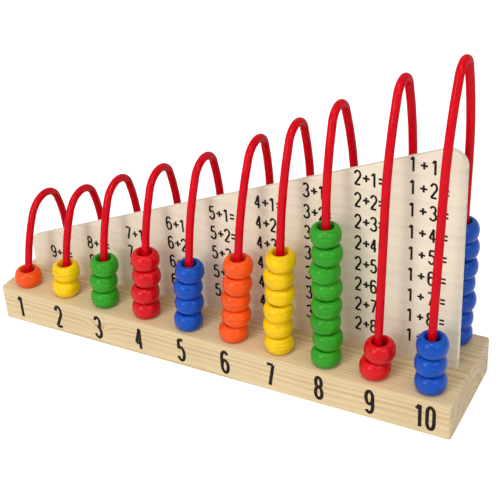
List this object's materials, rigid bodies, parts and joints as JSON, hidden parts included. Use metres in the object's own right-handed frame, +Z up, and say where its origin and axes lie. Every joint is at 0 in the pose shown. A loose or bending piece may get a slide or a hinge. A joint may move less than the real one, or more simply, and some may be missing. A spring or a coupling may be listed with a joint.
{
  "type": "abacus",
  "caption": "Wooden teaching abacus: a long base block carries a sloped sum board and a row of rising wire hoops with painted beads that slide.",
  "frame": {"origin": "middle of the base block's underside", "axes": "+Z up, +X along the base towards the tallest hoop, +Y to the back"},
  "size_m": [0.3, 0.068, 0.2082],
  "materials": {
    "base_pine": "clear satin on planed pine",
    "board_ply": "pale sanded thin board with black print",
    "red_wire": "glossy red dipped coating on steel wire",
    "bead_orange": "glossy orange paint on turned wood",
    "bead_yellow": "glossy yellow paint on turned wood",
    "bead_green": "glossy green paint on turned wood",
    "bead_red": "glossy red paint on turned wood",
    "bead_blue": "glossy blue paint on turned wood"
  },
  "bodies": {
    "stand": {"base_block": "base_pine", "number_board": "board_ply", "low_hoops": "red_wire", "middle_hoops": "red_wire", "high_hoops": "red_wire"},
    "bead_01_front_1": {"bead_01_front_1": "bead_orange"},
    "bead_02_front_1": {"bead_02_front_1": "bead_yellow"},
    "bead_02_front_2": {"bead_02_front_2": "bead_yellow"},
    "bead_03_front_1": {"bead_03_front_1": "bead_green"},
    "bead_03_front_2": {"bead_03_front_2": "bead_green"},
    "bead_03_front_3": {"bead_03_front_3": "bead_green"},
    "bead_04_front_1": {"bead_04_front_1": "bead_red"},
    "bead_04_front_2": {"bead_04_front_2": "bead_red"},
    "bead_04_front_3": {"bead_04_front_3": "bead_red"},
    "bead_04_front_4": {"bead_04_front_4": "bead_red"},
    "bead_05_front_1": {"bead_05_front_1": "bead_blue"},
    "bead_05_front_2": {"bead_05_front_2": "bead_blue"},
    "bead_05_front_3": {"bead_05_front_3": "bead_blue"},
    "bead_05_front_4": {"bead_05_front_4": "bead_blue"},
    "bead_05_rear_1": {"bead_05_rear_1": "bead_blue"},
    "bead_06_front_1": {"bead_06_front_1": "bead_orange"},
    "bead_06_front_2": {"bead_06_front_2": "bead_orange"},
    "bead_06_front_3": {"bead_06_front_3": "bead_orange"},
    "bead_06_front_4": {"bead_06_front_4": "bead_orange"},
    "bead_06_front_5": {"bead_06_front_5": "bead_orange"},
    "bead_06_rear_1": {"bead_06_rear_1": "bead_orange"},
    "bead_07_front_1": {"bead_07_front_1": "bead_yellow"},
    "bead_07_front_2": {"bead_07_front_2": "bead_yellow"},
    "bead_07_front_3": {"bead_07_front_3": "bead_yellow"},
    "bead_07_front_4": {"bead_07_front_4": "bead_yellow"},
    "bead_07_front_5": {"bead_07_front_5": "bead_yellow"},
    "bead_07_front_6": {"bead_07_front_6": "bead_yellow"},
    "bead_07_rear_1": {"bead_07_rear_1": "bead_yellow"},
    "bead_08_front_1": {"bead_08_front_1": "bead_green"},
    "bead_08_front_2": {"bead_08_front_2": "bead_green"},
    "bead_08_front_3": {"bead_08_front_3": "bead_green"},
    "bead_08_front_4": {"bead_08_front_4": "bead_green"},
    "bead_08_front_5": {"bead_08_front_5": "bead_green"},
    "bead_08_front_6": {"bead_08_front_6": "bead_green"},
    "bead_08_front_7": {"bead_08_front_7": "bead_green"},
    "bead_08_front_8": {"bead_08_front_8": "bead_green"},
    "bead_09_front_1": {"bead_09_front_1": "bead_red"},
    "bead_09_front_2": {"bead_09_front_2": "bead_red"},
    "bead_09_rear_1": {"bead_09_rear_1": "bead_red"},
    "bead_09_rear_2": {"bead_09_rear_2": "bead_red"},
    "bead_09_rear_3": {"bead_09_rear_3": "bead_red"},
    "bead_09_rear_4": {"bead_09_rear_4": "bead_red"},
    "bead_09_rear_5": {"bead_09_rear_5": "bead_red"},
    "bead_09_rear_6": {"bead_09_rear_6": "bead_red"},
    "bead_09_rear_7": {"bead_09_rear_7": "bead_red"},
    "bead_10_front_1": {"bead_10_front_1": "bead_blue"},
    "bead_10_front_2": {"bead_10_front_2": "bead_blue"},
    "bead_10_front_3": {"bead_10_front_3": "bead_blue"},
    "bead_10_rear_1": {"bead_10_rear_1": "bead_blue"},
    "bead_10_rear_2": {"bead_10_rear_2": "bead_blue"},
    "bead_10_rear_3": {"bead_10_rear_3": "bead_blue"},
    "bead_10_rear_4": {"bead_10_rear_4": "bead_blue"},
    "bead_10_rear_5": {"bead_10_rear_5": "bead_blue"},
    "bead_10_rear_6": {"bead_10_rear_6": "bead_blue"},
    "bead_10_rear_7": {"bead_10_rear_7": "bead_blue"}
  },
  "joints": [
    {"name": "bead_01_front_1_slide", "type": "slide", "parent": "stand", "child": "bead_01_front_1", "axis": [0.086, 0.1636, 0.9828], "range_m": [0, 0.022]},
    {"name": "bead_02_front_1_slide", "type": "slide", "parent": "stand", "child": "bead_02_front_1", "axis": [0.0743, 0.1346, 0.9881], "range_m": [0, 0.0075]},
    {"name": "bead_02_front_2_slide", "type": "slide", "parent": "bead_02_front_1", "child": "bead_02_front_2", "axis": [0.0743, 0.1346, 0.9881], "range_m": [0, 0.0075]},
    {"name": "bead_03_front_1_slide", "type": "slide", "parent": "stand", "child": "bead_03_front_1", "axis": [0.0538, 0.1065, 0.9929], "range_m": [0, 0.0038]},
    {"name": "bead_03_front_2_slide", "type": "slide", "parent": "bead_03_front_1", "child": "bead_03_front_2", "axis": [0.0538, 0.1065, 0.9929], "range_m": [0, 0.0038]},
    {"name": "bead_03_front_3_slide", "type": "slide", "parent": "bead_03_front_2", "child": "bead_03_front_3", "axis": [0.0538, 0.1065, 0.9929], "range_m": [0, 0.0077]},
    {"name": "bead_04_front_1_slide", "type": "slide", "parent": "stand", "child": "bead_04_front_1", "axis": [0.0504, 0.0864, 0.995], "range_m": [0, 0.0028]},
    {"name": "bead_04_front_2_slide", "type": "slide", "parent": "bead_04_front_1", "child": "bead_04_front_2", "axis": [0.0504, 0.0864, 0.995], "range_m": [0, 0.0028]},
    {"name": "bead_04_front_3_slide", "type": "slide", "parent": "bead_04_front_2", "child": "bead_04_front_3", "axis": [0.0504, 0.0864, 0.995], "range_m": [0, 0.0028]},
    {"name": "bead_04_front_4_slide", "type": "slide", "parent": "bead_04_front_3", "child": "bead_04_front_4", "axis": [0.0504, 0.0864, 0.995], "range_m": [0, 0.0085]},
    {"name": "bead_05_front_1_slide", "type": "slide", "parent": "stand", "child": "bead_05_front_1", "axis": [0.0574, 0.0718, 0.9958], "range_m": [0, 0.0045]},
    {"name": "bead_05_front_2_slide", "type": "slide", "parent": "bead_05_front_1", "child": "bead_05_front_2", "axis": [0.0574, 0.0718, 0.9958], "range_m": [0, 0.0045]},
    {"name": "bead_05_front_3_slide", "type": "slide", "parent": "bead_05_front_2", "child": "bead_05_front_3", "axis": [0.0574, 0.0718, 0.9958], "range_m": [0, 0.0045]},
    {"name": "bead_05_front_4_slide", "type": "slide", "parent": "bead_05_front_3", "child": "bead_05_front_4", "axis": [0.0574, 0.0718, 0.9958], "range_m": [0, 0.0135]},
    {"name": "bead_05_rear_1_slide", "type": "slide", "parent": "stand", "child": "bead_05_rear_1", "axis": [0.0574, -0.0718, 0.9958], "range_m": [0, 0.056]},
    {"name": "bead_06_front_1_slide", "type": "slide", "parent": "stand", "child": "bead_06_front_1", "axis": [0.0766, 0.0586, 0.9953], "range_m": [0, 0.0041]},
    {"name": "bead_06_front_2_slide", "type": "slide", "parent": "bead_06_front_1", "child": "bead_06_front_2", "axis": [0.0766, 0.0586, 0.9953], "range_m": [0, 0.0041]},
    {"name": "bead_06_front_3_slide", "type": "slide", "parent": "bead_06_front_2", "child": "bead_06_front_3", "axis": [0.0766, 0.0586, 0.9953], "range_m": [0, 0.0041]},
    {"name": "bead_06_front_4_slide", "type": "slide", "parent": "bead_06_front_3", "child": "bead_06_front_4", "axis": [0.0766, 0.0586, 0.9953], "range_m": [0, 0.0041]},
    {"name": "bead_06_front_5_slide", "type": "slide", "parent": "bead_06_front_4", "child": "bead_06_front_5", "axis": [0.0766, 0.0586, 0.9953], "range_m": [0, 0.0167]},
    {"name": "bead_06_rear_1_slide", "type": "slide", "parent": "stand", "child": "bead_06_rear_1", "axis": [0.0766, -0.0586, 0.9953], "range_m": [0, 0.076]},
    {"name": "bead_07_front_1_slide", "type": "slide", "parent": "stand", "child": "bead_07_front_1", "axis": [0.0401, 0.0504, 0.9979], "range_m": [0, 0.0029]},
    {"name": "bead_07_front_2_slide", "type": "slide", "parent": "bead_07_front_1", "child": "bead_07_front_2", "axis": [0.0401, 0.0504, 0.9979], "range_m": [0, 0.0029]},
    {"name": "bead_07_front_3_slide", "type": "slide", "parent": "bead_07_front_2", "child": "bead_07_front_3", "axis": [0.0401, 0.0504, 0.9979], "range_m": [0, 0.0029]},
    {"name": "bead_07_front_4_slide", "type": "slide", "parent": "bead_07_front_3", "child": "bead_07_front_4", "axis": [0.0401, 0.0504, 0.9979], "range_m": [0, 0.0029]},
    {"name": "bead_07_front_5_slide", "type": "slide", "parent": "bead_07_front_4", "child": "bead_07_front_5", "axis": [0.0401, 0.0504, 0.9979], "range_m": [0, 0.0029]},
    {"name": "bead_07_front_6_slide", "type": "slide", "parent": "bead_07_front_5", "child": "bead_07_front_6", "axis": [0.0401, 0.0504, 0.9979], "range_m": [0, 0.0145]},
    {"name": "bead_07_rear_1_slide", "type": "slide", "parent": "stand", "child": "bead_07_rear_1", "axis": [0.0401, -0.0504, 0.9979], "range_m": [0, 0.0805]},
    {"name": "bead_08_front_1_slide", "type": "slide", "parent": "stand", "child": "bead_08_front_1", "axis": [-0.0052, 0.0436, 0.999], "range_m": [0, 0.0017]},
    {"name": "bead_08_front_2_slide", "type": "slide", "parent": "bead_08_front_1", "child": "bead_08_front_2", "axis": [-0.0052, 0.0436, 0.999], "range_m": [0, 0.0017]},
    {"name": "bead_08_front_3_slide", "type": "slide", "parent": "bead_08_front_2", "child": "bead_08_front_3", "axis": [-0.0052, 0.0436, 0.999], "range_m": [0, 0.0017]},
    {"name": "bead_08_front_4_slide", "type": "slide", "parent": "bead_08_front_3", "child": "bead_08_front_4", "axis": [-0.0052, 0.0436, 0.999], "range_m": [0, 0.0017]},
    {"name": "bead_08_front_5_slide", "type": "slide", "parent": "bead_08_front_4", "child": "bead_08_front_5", "axis": [-0.0052, 0.0436, 0.999], "range_m": [0, 0.0017]},
    {"name": "bead_08_front_6_slide", "type": "slide", "parent": "bead_08_front_5", "child": "bead_08_front_6", "axis": [-0.0052, 0.0436, 0.999], "range_m": [0, 0.0017]},
    {"name": "bead_08_front_7_slide", "type": "slide", "parent": "bead_08_front_6", "child": "bead_08_front_7", "axis": [-0.0052, 0.0436, 0.999], "range_m": [0, 0.0017]},
    {"name": "bead_08_front_8_slide", "type": "slide", "parent": "bead_08_front_7", "child": "bead_08_front_8", "axis": [-0.0052, 0.0436, 0.999], "range_m": [0, 0.0125]},
    {"name": "bead_09_front_1_slide", "type": "slide", "parent": "stand", "child": "bead_09_front_1", "axis": [0.0244, 0.037, 0.999], "range_m": [0, 0.0497]},
    {"name": "bead_09_front_2_slide", "type": "slide", "parent": "bead_09_front_1", "child": "bead_09_front_2", "axis": [0.0244, 0.037, 0.999], "range_m": [0, 0.0497]},
    {"name": "bead_09_rear_1_slide", "type": "slide", "parent": "stand", "child": "bead_09_rear_1", "axis": [0.0244, -0.037, 0.999], "range_m": [0, 0.004]},
    {"name": "bead_09_rear_2_slide", "type": "slide", "parent": "bead_09_rear_1", "child": "bead_09_rear_2", "axis": [0.0244, -0.037, 0.999], "range_m": [0, 0.004]},
    {"name": "bead_09_rear_3_slide", "type": "slide", "parent": "bead_09_rear_2", "child": "bead_09_rear_3", "axis": [0.0244, -0.037, 0.999], "range_m": [0, 0.004]},
    {"name": "bead_09_rear_4_slide", "type": "slide", "parent": "bead_09_rear_3", "child": "bead_09_rear_4", "axis": [0.0244, -0.037, 0.999], "range_m": [0, 0.004]},
    {"name": "bead_09_rear_5_slide", "type": "slide", "parent": "bead_09_rear_4", "child": "bead_09_rear_5", "axis": [0.0244, -0.037, 0.999], "range_m": [0, 0.004]},
    {"name": "bead_09_rear_6_slide", "type": "slide", "parent": "bead_09_rear_5", "child": "bead_09_rear_6", "axis": [0.0244, -0.037, 0.999], "range_m": [0, 0.004]},
    {"name": "bead_09_rear_7_slide", "type": "slide", "parent": "bead_09_rear_6", "child": "bead_09_rear_7", "axis": [0.0244, -0.037, 0.999], "range_m": [0, 0.0242]},
    {"name": "bead_10_front_1_slide", "type": "slide", "parent": "stand", "child": "bead_10_front_1", "axis": [0.0262, 0.0329, 0.9991], "range_m": [0, 0.0255]},
    {"name": "bead_10_front_2_slide", "type": "slide", "parent": "bead_10_front_1", "child": "bead_10_front_2", "axis": [0.0262, 0.0329, 0.9991], "range_m": [0, 0.0255]},
    {"name": "bead_10_front_3_slide", "type": "slide", "parent": "bead_10_front_2", "child": "bead_10_front_3", "axis": [0.0262, 0.0329, 0.9991], "range_m": [0, 0.051]},
    {"name": "bead_10_rear_1_slide", "type": "slide", "parent": "stand", "child": "bead_10_rear_1", "axis": [0.0262, -0.0329, 0.9991], "range_m": [0, 0.005]},
    {"name": "bead_10_rear_2_slide", "type": "slide", "parent": "bead_10_rear_1", "child": "bead_10_rear_2", "axis": [0.0262, -0.0329, 0.9991], "range_m": [0, 0.005]},
    {"name": "bead_10_rear_3_slide", "type": "slide", "parent": "bead_10_rear_2", "child": "bead_10_rear_3", "axis": [0.0262, -0.0329, 0.9991], "range_m": [0, 0.005]},
    {"name": "bead_10_rear_4_slide", "type": "slide", "parent": "bead_10_rear_3", "child": "bead_10_rear_4", "axis": [0.0262, -0.0329, 0.9991], "range_m": [0, 0.005]},
    {"name": "bead_10_rear_5_slide", "type": "slide", "parent": "bead_10_rear_4", "child": "bead_10_rear_5", "axis": [0.0262, -0.0329, 0.9991], "range_m": [0, 0.005]},
    {"name": "bead_10_rear_6_slide", "type": "slide", "parent": "bead_10_rear_5", "child": "bead_10_rear_6", "axis": [0.0262, -0.0329, 0.9991], "range_m": [0, 0.005]},
    {"name": "bead_10_rear_7_slide", "type": "slide", "parent": "bead_10_rear_6", "child": "bead_10_rear_7", "axis": [0.0262, -0.0329, 0.9991], "range_m": [0, 0.03]}
  ]
}
